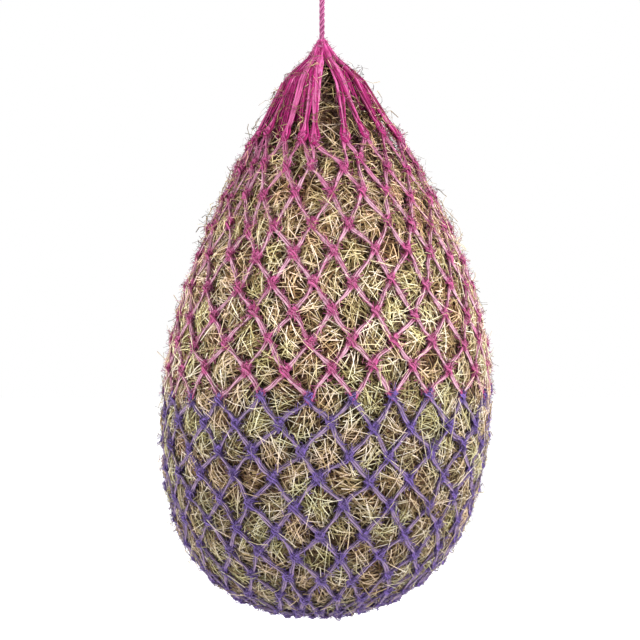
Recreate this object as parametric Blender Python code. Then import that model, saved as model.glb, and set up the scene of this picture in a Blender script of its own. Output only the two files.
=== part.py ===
# A filled hay net on its draw rope, hung from a steel ring.
# Metres, +Z up. The origin is the top of the ring's hole, where a hook bears.
# The net is hand-knotted netting: each course is one closed zigzag of twine, with a
# knot at each upper corner, and a bight at each lower corner for the next course.

import math
import random

import bmesh
import bpy
from mathutils import Vector

GAP = 0.0003                 # clearance between touching pieces

# Hanging ring, in the XZ plane
RING_WIRE = 0.008
RING_RADIUS = 0.027          # to the middle of the wire
RING_SEGMENTS = 32

# Draw rope, its tied eye and the noose through the mouth loops
ROPE = 0.008
EYE_LENGTH = 0.040           # from the ring's wire to the knot
EYE_LEG = 0.0046             # half the distance between the legs where they leave the knot
KNOT_HEIGHT = 0.026
KNOT_RADIUS = 0.012
KNOT_TURNS = 3
KNOT_GROOVE = 0.003          # between two turns of rope
KNOT_TAPER = 0.0015          # from the knot's waist to its ends
KNOT_SEGMENTS = 16
EYE_LEG_STEPS = 4
EYE_BEND_STEPS = 6
ROPE_LENGTH = 0.076          # from the knot into the gather
GATHER_DEPTH = 0.004         # how far the rope's end lies below the gather's top
NOOSE_RADIUS = 0.010
NOOSE_DEPTH = 0.0118         # clear of the rope's end when the bag tilts
NOOSE_SEGMENTS = 16

# Bag outline, as depth below the gather's top and radius of the net
GATHER_RADIUS = 0.013
SHOULDER_DEPTH = 0.054
SHOULDER_RADIUS = 0.058
WIDEST_DEPTH = 0.575
WIDEST_RADIUS = 0.256
BAG_DEPTH = 0.908
TAPER_POWER = 1.85           # of the cone above the widest part
BELLY_POWER = 2.6            # of the superellipse below it
LEAN = 0.012                 # sideways sway of the bag's middle line
LEAN_WAVE = 1.45
TENT_STEPS = 12
CONE_STEPS = 80
BELLY_STEPS = 160

# Netting
MESHES = 24                  # round the net
PINK_COURSES = 9
PURPLE_COURSES = 11
FIRST_KNOT_DEPTH = 0.166
BAR_AT_TOP = 0.058           # knot to knot, pulled straight by the load
BAR_AT_BELLY = 0.051         # the same twine, bent over the hay
TWINE_HALF_WIDTH = 0.0028
TWINE_THICKNESS = 0.0042
TWINE_UNDERSIDE = 0.4        # share of the thickness that lies under the middle
BIGHT_HALF_HEIGHT = 0.004
KNOT_HALF_HEIGHT = 0.007
KNOT_THICKNESS = 0.009
KNOT_REACH = 0.009           # from a knot's middle to where its bars start
CROWDED_PITCH = 0.020        # knots closer together than this are drawn smaller
KNOT_STRAY = 0.0035          # how far a knot lies off the regular pattern
STRAY_SEED = 11

# Mouth loops, which narrow as they crowd on to the noose
NECK_DEPTH = 0.020
NECK_HALF_WIDTH = 0.0015
LOOP_TOP_DEPTH = 0.003
LOOP_TOP_HALF_WIDTH = 0.0007

# Hay
HAY_INSET = 0.0065           # below the netting's middle surface
HAY_TOP_DEPTH = 0.036
HAY_SEGMENTS = 32
HAY_RINGS = 18

# Base ring
BASE_WIRE = 0.005
BASE_RADIUS = 0.022
BASE_SEGMENTS = 24

# Heights that follow from the sizes above
RING_Z = RING_WIRE / 2 - RING_RADIUS
LOWER_WIRE_Z = RING_Z - RING_RADIUS
KNOT_TOP_Z = LOWER_WIRE_Z - EYE_LENGTH
KNOT_BOTTOM_Z = KNOT_TOP_Z - KNOT_HEIGHT
ROPE_END_Z = KNOT_BOTTOM_Z - ROPE_LENGTH
BAG_TOP_Z = ROPE_END_Z + GATHER_DEPTH


def clear_scene():
    for old in list(bpy.data.objects):
        bpy.data.objects.remove(old)


def make_material(name, colour, roughness, metallic=0.0):
    material = bpy.data.materials.new(name)
    material.use_nodes = True
    shader = material.node_tree.nodes["Principled BSDF"]
    shader.inputs["Base Color"].default_value = (*colour, 1.0)
    shader.inputs["Roughness"].default_value = roughness
    shader.inputs["Metallic"].default_value = metallic
    material.diffuse_color = (*colour, 1.0)
    return material


def add_object(name, data, material):
    made = bpy.data.objects.new(name, data)
    data.materials.append(material)
    bpy.context.collection.objects.link(made)
    return made


def add_mesh(name, shape, material):
    bmesh.ops.recalc_face_normals(shape, faces=shape.faces)
    data = bpy.data.meshes.new(name)
    shape.to_mesh(data)
    shape.free()
    return add_object(name, data, material)


def add_tube(name, points, radius, material):
    data = bpy.data.curves.new(name, "CURVE")
    data.dimensions = "3D"
    data.bevel_depth = radius
    data.bevel_resolution = 3
    data.use_fill_caps = True
    spline = data.splines.new("POLY")
    spline.points.add(len(points) - 1)
    for point, place in zip(spline.points, points):
        point.co = (*place, 1.0)
    return add_object(name, data, material)


def add_torus(name, radius, wire, location, rotation, material, segments):
    bpy.ops.mesh.primitive_torus_add(major_radius=radius, minor_radius=wire / 2,
                                     major_segments=segments, minor_segments=8,
                                     location=location, rotation=rotation)
    ring = bpy.context.object
    ring.name = name
    ring.data.materials.append(material)
    ring.data.shade_smooth()
    return ring


def add_lathe(name, profile, segments, material):
    """Turns (radius, height) points about Z; the first and last points are poles."""
    shape = bmesh.new()
    rings = []
    for radius, height in profile[1:-1]:
        turn = [math.tau * step / segments for step in range(segments)]
        rings.append([shape.verts.new((radius * math.cos(angle), radius * math.sin(angle), height))
                      for angle in turn])
    bridge_rings(shape, rings)
    for ring, pole in ((rings[0], profile[0]), (rings[-1], profile[-1])):
        tip = shape.verts.new((0, 0, pole[1]))
        for index, corner in enumerate(ring):
            shape.faces.new((corner, ring[index - 1], tip))
    return add_mesh(name, shape, material)


def bridge_rings(shape, rings):
    for upper, lower in zip(rings, rings[1:]):
        for index in range(len(upper)):
            shape.faces.new((upper[index], upper[index - 1], lower[index - 1], lower[index]))


def smooth_route(stations, steps):
    """Points of a smooth curve through the stations, steps to a stretch."""
    ends = [stations[0]] + list(stations) + [stations[-1]]
    points = []
    for a, b, c, d in zip(ends, ends[1:], ends[2:], ends[3:]):
        for step in range(steps):
            t = step / steps
            points.append(0.5 * (2 * b + (c - a) * t + (2 * a - 5 * b + 4 * c - d) * t * t
                                 + (3 * b - a - 3 * c + d) * t ** 3))
    return points + [stations[-1]]


def outline():
    """(depth, radius) down the net, from the gather's top to the middle of its base."""
    tent = [(SHOULDER_DEPTH * step / TENT_STEPS,
             GATHER_RADIUS + (SHOULDER_RADIUS - GATHER_RADIUS) * step / TENT_STEPS)
            for step in range(TENT_STEPS)]
    cone = []
    for step in range(CONE_STEPS):
        rise = 1 - step / CONE_STEPS
        cone.append((WIDEST_DEPTH - (WIDEST_DEPTH - SHOULDER_DEPTH) * rise,
                     WIDEST_RADIUS - (WIDEST_RADIUS - SHOULDER_RADIUS) * rise ** TAPER_POWER))
    belly = []
    for step in range(BELLY_STEPS + 1):
        turn = math.pi / 2 * step / BELLY_STEPS
        belly.append((WIDEST_DEPTH
                      + (BAG_DEPTH - WIDEST_DEPTH) * math.sin(turn) ** (2 / BELLY_POWER),
                      WIDEST_RADIUS * max(math.cos(turn), 0.0) ** (2 / BELLY_POWER)))
    return tent + cone + belly


OUTLINE = outline()
ARCS = [0.0]
for before, after in zip(OUTLINE, OUTLINE[1:]):
    ARCS.append(ARCS[-1] + math.dist(before, after))


def at_arc(arc):
    """Depth, radius, and the outline's outward direction, at a distance down the net."""
    index = 1
    while index < len(ARCS) - 1 and ARCS[index] < arc:
        index += 1
    share = (arc - ARCS[index - 1]) / (ARCS[index] - ARCS[index - 1])
    share = min(max(share, 0.0), 1.0)
    (depth_a, radius_a), (depth_b, radius_b) = OUTLINE[index - 1], OUTLINE[index]
    run = ARCS[index] - ARCS[index - 1]
    outward = ((depth_b - depth_a) / run, (radius_b - radius_a) / run)
    return (depth_a + (depth_b - depth_a) * share,
            radius_a + (radius_b - radius_a) * share, outward)


def arc_at_depth(depth):
    index = next(index for index, place in enumerate(OUTLINE) if place[0] >= depth)
    run = OUTLINE[index][0] - OUTLINE[index - 1][0]
    share = (OUTLINE[index][0] - depth) / run
    return ARCS[index] - (ARCS[index] - ARCS[index - 1]) * share


def arc_at_last_radius(radius):
    return max(arc for arc, place in zip(ARCS, OUTLINE) if place[1] >= radius)


def lean(depth):
    return LEAN * math.sin(math.tau * depth / LEAN_WAVE)


def on_net(arc, angle, half_width, thickness):
    """One station of twine: its middle, the net's outward direction, and its size."""
    depth, radius, (out, up) = at_arc(arc)
    heading = Vector((math.sin(angle), -math.cos(angle), 0))
    middle = heading * radius + Vector((lean(depth), 0, BAG_TOP_Z - depth))
    return middle, heading * out + Vector((0, 0, up)), half_width, thickness


def twine_ring(name, stations, material):
    """A closed run of twine of triangular section, its flat side on the hay."""
    shape = bmesh.new()
    rings = []
    for index, (middle, outward, half_width, thickness) in enumerate(stations):
        along = stations[(index + 1) % len(stations)][0] - stations[index - 1][0]
        side = along.cross(outward).normalized()
        lift = side.cross(along).normalized()
        under = lift * thickness * TWINE_UNDERSIDE
        corners = (side * half_width - under,
                   lift * thickness - under,
                   -side * half_width - under)
        rings.append([shape.verts.new(middle + corner) for corner in corners])
    bridge_rings(shape, rings + rings[:1])
    return add_mesh(name, shape, material)


def knot_levels():
    """Distance down the net of each level of knots."""
    arcs = [arc_at_depth(FIRST_KNOT_DEPTH)]
    while len(arcs) < PINK_COURSES + PURPLE_COURSES:
        depth, radius, _ = at_arc(arcs[-1])
        slack = min(depth / WIDEST_DEPTH, 1.0)
        bar = BAR_AT_TOP + (BAR_AT_BELLY - BAR_AT_TOP) * slack
        arcs.append(arcs[-1] + math.sqrt(bar ** 2 - (math.pi * radius / MESHES) ** 2))
    return arcs


def knot_places():
    """(distance down the net, angle) of each knot, level by level, a little irregular."""
    stray = random.Random(STRAY_SEED)
    levels = []
    for level, arc in enumerate(knot_levels()):
        radius = at_arc(arc)[1]
        give = KNOT_STRAY * min(radius / SHOULDER_RADIUS / 2, 1.0)
        levels.append([(arc + stray.uniform(-give, give),
                        math.tau * (mesh + level % 2 / 2) / MESHES
                        + stray.uniform(-give, give) / radius)
                       for mesh in range(MESHES)])
    return levels


def crowding(arc):
    """How much smaller knots are drawn where they lie close together."""
    return min(math.tau * at_arc(arc)[1] / MESHES / CROWDED_PITCH, 1.0)


def bight_above(arc, angle, size):
    """The lower corner of a course, resting on the knot below it."""
    rise = (KNOT_HALF_HEIGHT + BIGHT_HALF_HEIGHT) * size + 2 * GAP
    return on_net(arc - rise, angle, BIGHT_HALF_HEIGHT * size, TWINE_THICKNESS)


def part_way(start, end, distance):
    """A bar's first station, a little way from its knot towards its bight."""
    direction = (end[0] - start[0]).normalized()
    return start[0] + direction * distance, start[1], TWINE_HALF_WIDTH, TWINE_THICKNESS


def course_stations(level, places, bights):
    """Knot, bar, bight, bar, round one course; bights[k] lies right of knot k."""
    size = crowding(places[0][0])
    knots = [on_net(arc, angle, KNOT_HALF_HEIGHT * size, KNOT_THICKNESS * size)
             for arc, angle in places]
    reach = KNOT_REACH * size
    stations = []
    for mesh, knot in enumerate(knots):
        following = knots[(mesh + 1) % MESHES]
        bight = bights[mesh]
        stations += [knot, part_way(knot, bight, reach), bight,
                     part_way(following, bight, reach)]
    return stations


def build_courses(places, pink, purple):
    for level in range(PINK_COURSES + PURPLE_COURSES):
        if level + 1 < len(places):
            shift = level % 2
            below = [places[level + 1][(mesh + shift) % MESHES] for mesh in range(MESHES)]
            size = crowding(below[0][0])
            bights = [bight_above(arc, angle, size) for arc, angle in below]
        else:
            bights = base_bights(level)
        is_pink = level < PINK_COURSES
        number = level + 1 if is_pink else level + 1 - PINK_COURSES
        colour = "pink" if is_pink else "purple"
        twine_ring(f"{colour}_course_{number:02d}", course_stations(level, places[level], bights),
                   pink if is_pink else purple)


def base_bights(level):
    """The last bights, drawn on to the base ring."""
    radius = BASE_RADIUS + BASE_WIRE / 2 + TWINE_HALF_WIDTH + GAP
    arc = arc_at_last_radius(radius)
    return [on_net(arc, math.tau * (mesh + level % 2 / 2 + 0.5) / MESHES,
                   TWINE_HALF_WIDTH, TWINE_THICKNESS)
            for mesh in range(MESHES)]


def build_mouth_loops(first_level, pink):
    """Long loops from the first knots up to the noose, one between each two knots."""
    stations = []
    shoulder = arc_at_depth(SHOULDER_DEPTH)
    neck = arc_at_depth(NECK_DEPTH)
    top = arc_at_depth(LOOP_TOP_DEPTH)
    for mesh, (arc, angle) in enumerate(first_level):
        middle = math.tau * (mesh + 0.5) / MESHES
        quarter = math.tau / MESHES / 4
        stations += [
            bight_above(arc, angle, 1.0),
            on_net(shoulder, middle - quarter, TWINE_HALF_WIDTH, TWINE_THICKNESS),
            on_net(neck, middle - quarter, NECK_HALF_WIDTH, 2 * NECK_HALF_WIDTH),
            on_net(top, middle, LOOP_TOP_HALF_WIDTH, 2 * LOOP_TOP_HALF_WIDTH),
            on_net(neck, middle + quarter, NECK_HALF_WIDTH, 2 * NECK_HALF_WIDTH),
            on_net(shoulder, middle + quarter, TWINE_HALF_WIDTH, TWINE_THICKNESS)]
    twine_ring("mouth_loops", stations, pink)


def build_hay(straw):
    """The hay's outer shape, one pear-shaped solid just inside the netting."""
    first = arc_at_depth(HAY_TOP_DEPTH + HAY_INSET)
    last = arc_at_last_radius(BASE_RADIUS)
    profile = [(0.0, BAG_TOP_Z - HAY_TOP_DEPTH)]
    for ring in range(HAY_RINGS):
        depth, radius, (out, up) = at_arc(first + (last - first) * ring / (HAY_RINGS - 1))
        profile.append((radius - HAY_INSET * out, BAG_TOP_Z - depth - HAY_INSET * up))
    profile.append((0.0, profile[-1][1]))
    hay = add_lathe("hay_fill", profile, HAY_SEGMENTS, straw)
    for corner in hay.data.vertices:
        corner.co.x += lean(BAG_TOP_Z - corner.co.z)
    hay.data.shade_smooth()


def build_rope(cotton):
    """The rope from the knot to the gather, its eye, its knot and its noose."""
    top = Vector((0, 0, KNOT_BOTTOM_Z - GAP))
    end = Vector((0, 0, ROPE_END_Z))
    add_tube("draw_rope", [top, top.lerp(end, 0.5), end], ROPE / 2, cotton)

    bend = RING_WIRE / 2 + GAP + ROPE / 2
    leg_top = LOWER_WIRE_Z - bend
    foot = KNOT_TOP_Z + 2 * GAP
    leg = []
    for step in range(EYE_LEG_STEPS + 1):
        share = step / EYE_LEG_STEPS
        spread = EYE_LEG + (bend - EYE_LEG) * share ** 2
        leg.append(Vector((0, spread, foot + (leg_top - foot) * share)))
    crown = []
    for step in range(EYE_BEND_STEPS + 1):
        turn = math.pi * step / EYE_BEND_STEPS
        crown.append(Vector((0, bend * math.cos(turn), LOWER_WIRE_Z + bend * math.sin(turn))))
    other_leg = [Vector((0, -place.y, place.z)) for place in reversed(leg)]
    add_tube("rope_eye", smooth_route(leg + crown + other_leg, 2), ROPE / 2, cotton)

    add_torus("rope_noose", NOOSE_RADIUS, ROPE, (0, 0, BAG_TOP_Z - NOOSE_DEPTH), (0, 0, 0),
              cotton, NOOSE_SEGMENTS)
    build_eye_knot(cotton)


def build_eye_knot(cotton):
    """The knot that closes the eye: turns of rope drawn tight, as humps on a barrel."""
    steps = 6 * KNOT_TURNS
    profile = [(0.0, KNOT_TOP_Z)]
    for step in range(steps + 1):
        share = step / steps
        hump = abs(math.sin(math.pi * KNOT_TURNS * share))
        barrel = KNOT_RADIUS - KNOT_TAPER * (2 * share - 1) ** 2
        profile.append((barrel - KNOT_GROOVE * (1 - hump), KNOT_TOP_Z - KNOT_HEIGHT * share))
    profile.append((0.0, KNOT_BOTTOM_Z))
    add_lathe("eye_knot", profile, KNOT_SEGMENTS, cotton)


def build():
    clear_scene()
    pink = make_material("pink_twine", (0.56, 0.13, 0.30), 0.75)
    purple = make_material("purple_twine", (0.17, 0.10, 0.33), 0.75)
    cotton = make_material("pink_rope", (0.60, 0.16, 0.33), 0.8)
    straw = make_material("hay", (0.33, 0.26, 0.13), 0.9)
    steel = make_material("galvanised_steel", (0.55, 0.56, 0.57), 0.35, 1.0)

    add_torus("hanging_ring", RING_RADIUS, RING_WIRE, (0, 0, RING_Z), (math.pi / 2, 0, 0),
              steel, RING_SEGMENTS)
    build_rope(cotton)
    places = knot_places()
    build_mouth_loops(places[0], pink)
    build_courses(places, pink, purple)
    build_hay(straw)
    base_depth = at_arc(arc_at_last_radius(BASE_RADIUS))[0]
    add_torus("base_ring", BASE_RADIUS, BASE_WIRE,
              (lean(base_depth), 0, BAG_TOP_Z - base_depth), (0, 0, 0), steel,
              BASE_SEGMENTS)


build()
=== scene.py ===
# Looks of a filled hay net on its draw rope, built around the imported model.
# Metres, +Z up, the front of the net faces -Y.

import math
import random

import bpy
import numpy as np
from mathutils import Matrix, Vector


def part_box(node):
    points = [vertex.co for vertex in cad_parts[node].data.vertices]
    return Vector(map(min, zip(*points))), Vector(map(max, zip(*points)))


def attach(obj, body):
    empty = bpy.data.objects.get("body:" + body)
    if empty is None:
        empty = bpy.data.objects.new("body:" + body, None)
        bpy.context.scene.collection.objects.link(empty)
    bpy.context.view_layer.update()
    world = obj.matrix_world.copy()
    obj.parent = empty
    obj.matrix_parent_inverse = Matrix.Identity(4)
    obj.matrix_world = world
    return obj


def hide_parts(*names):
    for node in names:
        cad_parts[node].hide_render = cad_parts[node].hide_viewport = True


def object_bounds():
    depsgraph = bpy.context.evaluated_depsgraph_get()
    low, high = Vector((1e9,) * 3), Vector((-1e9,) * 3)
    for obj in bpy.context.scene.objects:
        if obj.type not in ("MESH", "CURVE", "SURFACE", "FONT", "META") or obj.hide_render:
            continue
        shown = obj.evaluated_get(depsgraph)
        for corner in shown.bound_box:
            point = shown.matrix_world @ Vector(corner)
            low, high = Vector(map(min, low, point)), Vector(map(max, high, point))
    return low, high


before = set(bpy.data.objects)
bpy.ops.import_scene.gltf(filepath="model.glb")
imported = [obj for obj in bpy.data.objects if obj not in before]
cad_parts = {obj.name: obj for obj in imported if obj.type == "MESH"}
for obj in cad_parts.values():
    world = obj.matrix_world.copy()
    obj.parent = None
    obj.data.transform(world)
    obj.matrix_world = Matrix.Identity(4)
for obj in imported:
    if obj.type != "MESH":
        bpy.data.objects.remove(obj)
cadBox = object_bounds()
scene = bpy.context.scene
print("frame loaded:", len(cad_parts), "nodes")

# camera, light and stage
view = {
    "distance": 2.2,
    "frameWidth": 1.024,      # what the view spans at the hang line
    "topMargin": 0.0656,      # of rope that shows above the gather
    "sideShift": -0.0032,
    "sensor": 36.0,
}
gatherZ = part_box("draw_rope")[0].z + 0.004
viewCentre = Vector((view["sideShift"], 0, gatherZ + view["topMargin"] - view["frameWidth"] / 2))


def addObject(name, data):
    made = bpy.data.objects.new(name, data)
    scene.collection.objects.link(made)
    return made


def addCamera():
    lens = bpy.data.cameras.new("camera")
    lens.sensor_width = view["sensor"]
    lens.lens = view["sensor"] * view["distance"] / view["frameWidth"]
    camera = addObject("camera", lens)
    camera.location = viewCentre + Vector((0, -view["distance"], 0))
    camera.rotation_euler = (math.pi / 2, 0, 0)
    scene.camera = camera


light = {
    "skyStrength": 0.44,
    "backdrop": 1.0,          # strength of the same sky as the camera sees it
    "keyPlace": (1.9, -1.5, 1.0),
    "keyPower": 120.0,
    "keySize": 0.6,
    "fillPlace": (-2.0, -1.0, 0.5),
    "fillPower": 62.0,
    "fillSize": 0.9,
    "backPlace": (0.5, 2.2, 0.8),
    "backPower": 45.0,
    "backSize": 0.9,
    "floorDrop": 0.35,        # floor below the hanging bag
    "floorReach": 12.0,
    "floorGlow": 0.25,        # so that the paper stays pale behind the bag
}


def addAreaLight(name, place, size, power):
    lamp = bpy.data.lights.new(name, "AREA")
    lamp.shape = "DISK"
    lamp.size = size
    lamp.energy = power
    made = addObject(name, lamp)
    made.location = place
    made.rotation_euler = (viewCentre - made.location).to_track_quat("-Z", "Y").to_euler()
    made.visible_camera = False


def addSky():
    world = bpy.data.worlds.new("studio")
    scene.world = world
    world.use_nodes = True
    nodes = world.node_tree.nodes
    links = world.node_tree.links
    nodes.clear()
    out = nodes.new("ShaderNodeOutputWorld")
    pick = nodes.new("ShaderNodeMixShader")
    path = nodes.new("ShaderNodeLightPath")
    for slot, strength in ((1, light["skyStrength"]), (2, light["backdrop"])):
        sky = nodes.new("ShaderNodeBackground")
        sky.inputs["Color"].default_value = (1, 1, 1, 1)
        sky.inputs["Strength"].default_value = strength
        links.new(sky.outputs[0], pick.inputs[slot])
    links.new(path.outputs["Is Camera Ray"], pick.inputs[0])
    links.new(pick.outputs[0], out.inputs[0])


def addStage():
    floorZ = cadBox[0].z - light["floorDrop"]
    data = bpy.data.meshes.new("floor")
    reach = light["floorReach"]
    corners = [(-reach, -reach), (reach, -reach), (reach, reach), (-reach, reach)]
    data.from_pydata([(x, y, floorZ) for x, y in corners], [], [(0, 1, 2, 3)])
    floor = addObject("floor", data)
    paper = bpy.data.materials.new("palePaper")
    paper.use_nodes = True
    shader = paper.node_tree.nodes["Principled BSDF"]
    shader.inputs["Base Color"].default_value = (0.93, 0.93, 0.93, 1)
    shader.inputs["Roughness"].default_value = 0.9
    shader.inputs["Emission Color"].default_value = (1, 1, 1, 1)
    path = paper.node_tree.nodes.new("ShaderNodeLightPath")
    glow = paper.node_tree.nodes.new("ShaderNodeMix")
    glow.inputs["A"].default_value = light["floorGlow"]
    glow.inputs["B"].default_value = 1.0
    paper.node_tree.links.new(path.outputs["Is Camera Ray"], glow.inputs["Factor"])
    paper.node_tree.links.new(glow.outputs["Result"], shader.inputs["Emission Strength"])
    data.materials.append(paper)


scene.view_settings.view_transform = "Standard"
addCamera()
addSky()
for lamp in ("key", "fill", "back"):
    addAreaLight(lamp, viewCentre + Vector(light[lamp + "Place"]), light[lamp + "Size"],
                 light[lamp + "Power"])
addStage()
print("camera, light and stage ready")

# the net's shape, as the frame has it but drawn in a little above and below the belly
shape = {
    "gatherRadius": 0.013,
    "shoulderDepth": 0.054,
    "shoulderRadius": 0.058,
    "widestDepth": 0.575,
    "widestRadius": 0.256,
    "bagDepth": 0.908,
    "taperPower": 1.85,
    "hollow": 0.009,          # how far the cone is drawn in halfway down
    "bellyPower": 2.45,
    "lean": 0.012,            # sideways sway of the bag's middle line
    "leanWave": 1.45,
    "slopeReach": 0.004,      # each way along the outline, where its slope is taken
    "tentSteps": 12,
    "coneSteps": 80,
    "bellySteps": 160,
}
netting = {
    "meshes": 24,
    "pinkCourses": 9,
    "purpleCourses": 11,
    "firstKnotDepth": 0.166,
    "barAtTop": 0.058,
    "barAtBelly": 0.051,
    "knotStray": 0.0050,      # how far a knot lies off the regular pattern
    "mouthStray": 1.1,        # how much more the first knots are out of line
    "drift": 0.0035,          # slow unevenness down the net, and round it
    "swing": 0.0055,          # the same to the side
    "narrowest": 0.06,        # radius below which the swing doesn't grow any more
    "heldAtBase": 0.2,        # last share of the way down, where the unevenness dies out
    "straySeed": 11,
    "crowdedPitch": 0.020,    # knots closer together than this are drawn smaller
    # how far down and aside the knot of a course and mesh is drawn
    "pulled": {(0, 0): (0.010, -0.016), (0, 1): (0.0, 0.004), (0, 23): (-0.004, -0.003)},
}


def makeOutline():  # depth and radius, from the gather down to the middle of the base
    s = shape
    tall = s["widestDepth"] - s["shoulderDepth"]
    wide = s["widestRadius"] - s["shoulderRadius"]
    tent = [(s["shoulderDepth"] * step / s["tentSteps"],
             s["gatherRadius"] + (s["shoulderRadius"] - s["gatherRadius"]) * step / s["tentSteps"])
            for step in range(s["tentSteps"])]
    cone = []
    for step in range(s["coneSteps"]):
        rise = 1 - step / s["coneSteps"]
        cone.append((s["widestDepth"] - tall * rise,
                     s["widestRadius"] - wide * rise ** s["taperPower"]
                     - s["hollow"] * math.sin(math.pi * rise ** 2)))
    belly = []
    for step in range(s["bellySteps"] + 1):
        turn = math.pi / 2 * step / s["bellySteps"]
        belly.append((s["widestDepth"] + (s["bagDepth"] - s["widestDepth"])
                      * math.sin(turn) ** (2 / s["bellyPower"]),
                      s["widestRadius"] * max(math.cos(turn), 0.0) ** (2 / s["bellyPower"])))
    return np.array(tent + cone + belly)


outline = makeOutline()
arcs = np.concatenate([[0.0], np.cumsum(np.linalg.norm(np.diff(outline, axis=0), axis=1))])


def depthAt(arc):  # an arc is a way down the outline from the gather
    return np.interp(arc, arcs, outline[:, 0])


def radiusAt(arc):
    return np.interp(arc, arcs, outline[:, 1])


def lean(depth):
    return shape["lean"] * np.sin(math.tau * depth / shape["leanWave"])


def onNet(arc, angle, lift=0.0):  # points a way down the net and round it, lifted off it
    arc = np.asarray(arc, float)
    depth = depthAt(arc)
    out, up = outwardAt(arc)
    radius = radiusAt(arc) + lift * out
    return np.stack([radius * np.sin(angle) + lean(depth), -radius * np.cos(angle),
                     gatherZ - depth + lift * up], axis=-1)


def outwardAt(arc):
    near = shape["slopeReach"]
    down = depthAt(arc + near) - depthAt(arc - near)
    wider = radiusAt(arc + near) - radiusAt(arc - near)
    length = np.hypot(down, wider)
    return down / length, wider / length


def wayOut(angle):
    return Vector((math.sin(angle), -math.cos(angle), 0))


def wayRound(angle):
    return Vector((math.cos(angle), math.sin(angle), 0))


def frameOnNet(arc, angle):  # a place on the net, and the ways round, up and out of it
    origin = Vector(onNet(arc, angle))
    out, up = outwardAt(np.asarray(arc))
    outward = (wayOut(angle) * float(out) + Vector((0, 0, float(up)))).normalized()
    around = wayRound(angle)
    return origin, around, outward.cross(around), outward


def arcAtDepth(depth):
    return float(np.interp(depth, outline[:, 0], arcs))


def arcAtLastRadius(radius):
    late = outline[:, 1] >= radius
    return float(arcs[late].max())


def knotLevels():
    found = [arcAtDepth(netting["firstKnotDepth"])]
    while len(found) < netting["pinkCourses"] + netting["purpleCourses"]:
        slack = min(depthAt(found[-1]) / shape["widestDepth"], 1.0)
        bar = netting["barAtTop"] + (netting["barAtBelly"] - netting["barAtTop"]) * slack
        half = math.pi * radiusAt(found[-1]) / netting["meshes"]
        found.append(found[-1] + math.sqrt(bar ** 2 - half ** 2))
    return found


def unevenness(arc, angle):  # how far the netting has slipped down and round at a place
    share = np.asarray(arc) / arcs[-1]
    radius = np.maximum(radiusAt(arc), netting["narrowest"])
    held = np.clip((1 - share) / netting["heldAtBase"], 0, 1)
    down = np.sin(3 * angle + 9 * share) + 0.7 * np.sin(7 * angle - 23 * share + 1)
    aside = np.sin(2 * angle + 14 * share + 2) + 0.8 * np.sin(5 * angle - 19 * share)
    return netting["drift"] * down * held, netting["swing"] * aside * held / radius


def knotPlaces():
    stray = random.Random(netting["straySeed"])
    levels = []
    for level, arc in enumerate(knotLevels()):
        radius = radiusAt(arc)
        give = netting["knotStray"] * min(radius / shape["shoulderRadius"] / 2, 1.0)
        give *= 1 + netting["mouthStray"] / (level + 1) ** 2
        row = []
        for mesh in range(netting["meshes"]):
            angle = math.tau * (mesh + level % 2 / 2) / netting["meshes"]
            down, aside = unevenness(arc, angle)
            pulledDown, pulledAside = netting["pulled"].get((level, mesh), (0.0, 0.0))
            row.append((arc + stray.uniform(-give, give) + float(down) + pulledDown,
                        angle + (stray.uniform(-give, give) + pulledAside) / radius
                        + float(aside)))
        levels.append(row)
    return levels


levelArcs = knotLevels()
places = knotPlaces()
print("net laid out:", len(places), "levels of knots")


def link(tree, start, end):
    tree.links.new(start, end)


def addNode(tree, kind, inputs=None, **settings):  # inputs are values or other nodes' sockets
    node = tree.nodes.new(kind)
    for key, value in settings.items():
        setattr(node, key, value)
    for key, value in (inputs or {}).items():
        if isinstance(value, bpy.types.NodeSocket):
            tree.links.new(value, node.inputs[key])
        else:
            node.inputs[key].default_value = value
    return node


def mathNode(tree, operation, *values, kind="ShaderNodeMath"):
    return addNode(tree, kind, dict(enumerate(values)), operation=operation).outputs[0]


socketKinds = {float: "Float", int: "Int", bool: "Bool", tuple: "Color", type(None): "Material"}


def newTree(name, kind, inputs, outputs):  # inputs are {name: default}, outputs {name: kind}
    tree = bpy.data.node_groups.new(name, kind)
    sides = [("OUTPUT", title, socket, None) for title, socket in outputs.items()]
    for title, default in inputs.items():
        sides.append(("INPUT", title, socketKinds[type(default)], default))
    if kind == "GeometryNodeTree":
        sides.insert(0, ("INPUT", "Geometry", "Geometry", None))
    for side, title, socket, default in sides:
        made = tree.interface.new_socket(title, in_out=side, socket_type=f"NodeSocket{socket}")
        if default is not None:
            made.default_value = default
    start, end = tree.nodes.new("NodeGroupInput"), tree.nodes.new("NodeGroupOutput")
    return tree, start.outputs, end.inputs


def grow(source, tree, values, name):  # runs a tree and keeps its result as a plain mesh
    modifier = source.modifiers.new("grow", "NODES")
    modifier.node_group = tree
    sockets = {item.name: item.identifier for item in tree.interface.items_tree
               if item.item_type == "SOCKET" and item.in_out == "INPUT"}
    for title, value in values.items():
        modifier[sockets[title]] = value
    bpy.context.view_layer.update()
    graph = bpy.context.evaluated_depsgraph_get()
    data = bpy.data.meshes.new_from_object(source.evaluated_get(graph), depsgraph=graph)
    source.modifiers.remove(modifier)
    data.name = name
    return addObject(name, data)


def keepValues(data, name, values):  # numbers or directions, one for each point of a mesh
    values = np.array(values, np.float32)
    isVector = values.ndim == 2
    kept = data.attributes.new(name, "FLOAT_VECTOR" if isVector else "FLOAT", "POINT")
    kept.data.foreach_set("vector" if isVector else "value", values.ravel())


def dropSource(source):
    data = source.data
    bpy.data.objects.remove(source)
    bpy.data.meshes.remove(data)


def settle(made, body, node=None):  # a piece's body and the node it stands for
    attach(made, body)
    if node:
        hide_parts(node)


# materials


def newMaterial(name):
    material = bpy.data.materials.new(name)
    material.use_nodes = True
    tree = material.node_tree
    return material, tree, tree.nodes["Principled BSDF"]


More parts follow.
